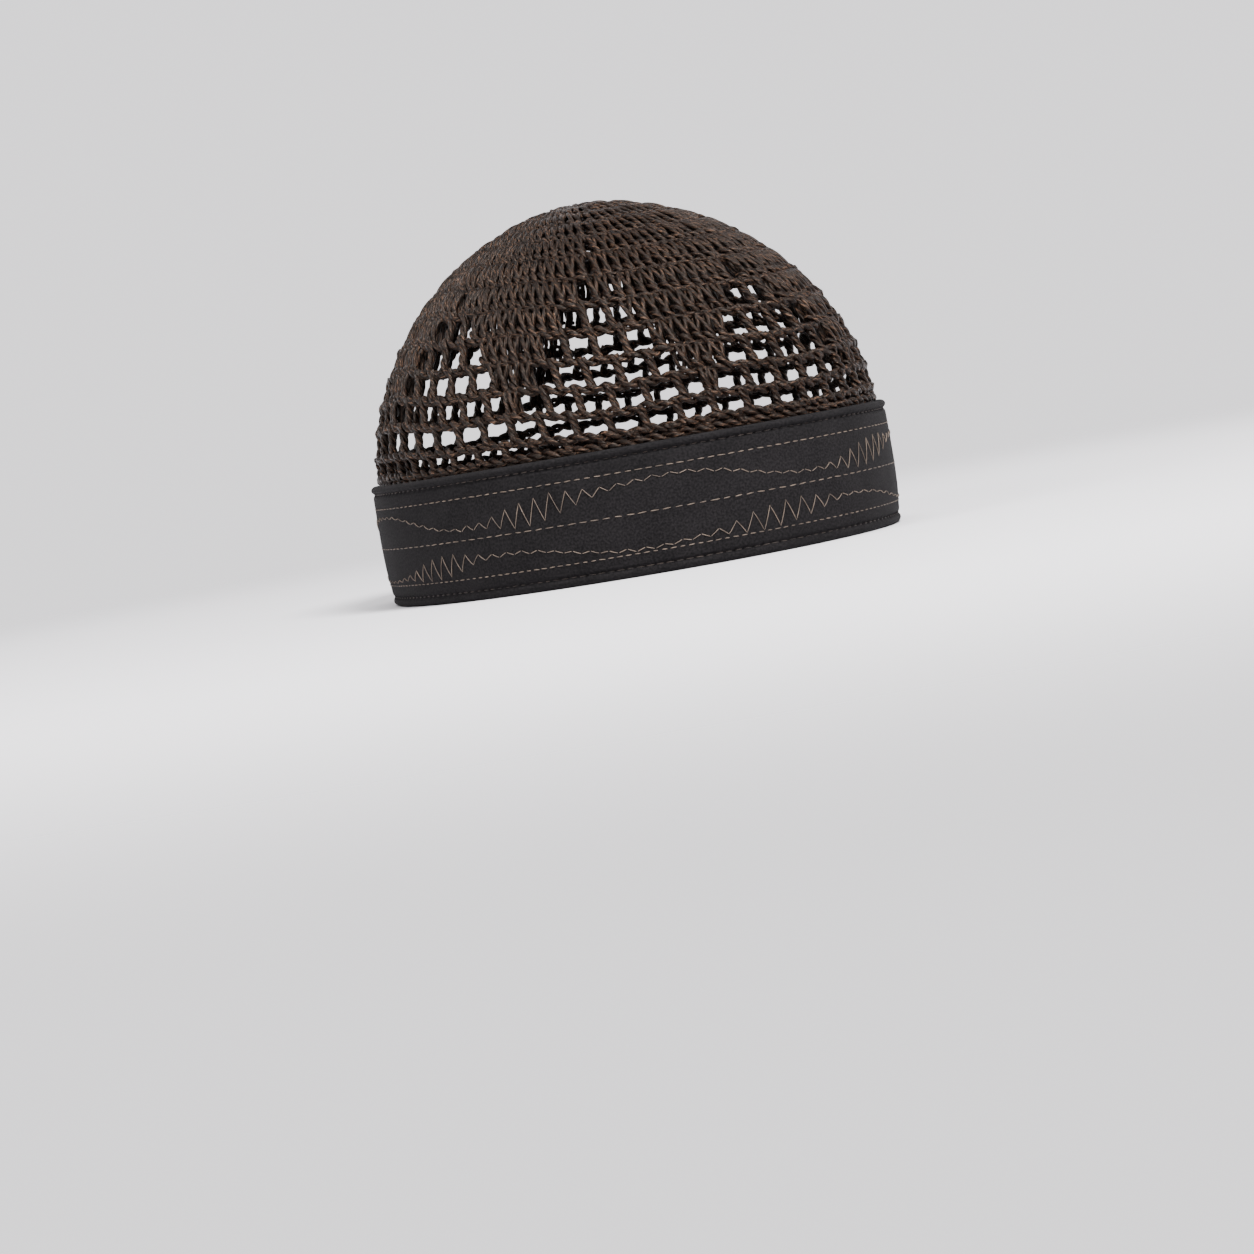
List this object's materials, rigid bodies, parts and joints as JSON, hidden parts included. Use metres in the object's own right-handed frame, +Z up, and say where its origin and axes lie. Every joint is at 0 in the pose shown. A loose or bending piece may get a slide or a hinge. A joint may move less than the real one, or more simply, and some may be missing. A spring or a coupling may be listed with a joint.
{
  "type": "crochet prayer cap",
  "caption": "Round crocheted prayer cap with triangles of open net above a folded, stitched cloth band; open below for the head.",
  "frame": {"origin": "middle of the cap's rim, on the surface that it rests on", "axes": "+Z up to the top of the crown, -Y the front of the head, +X the wearer's left"},
  "size_m": [0.17, 0.1916, 0.1244],
  "materials": {
    "crown_yarn": "lustrous dark brown crochet yarn",
    "band_cloth": "matte charcoal cloth",
    "band_thread": "light taupe sewing thread",
    "edge_thread": "dark sewing thread"
  },
  "bodies": {
    "root": {"crown": "crown_yarn", "band": "band_cloth"}
  },
  "joints": []
}
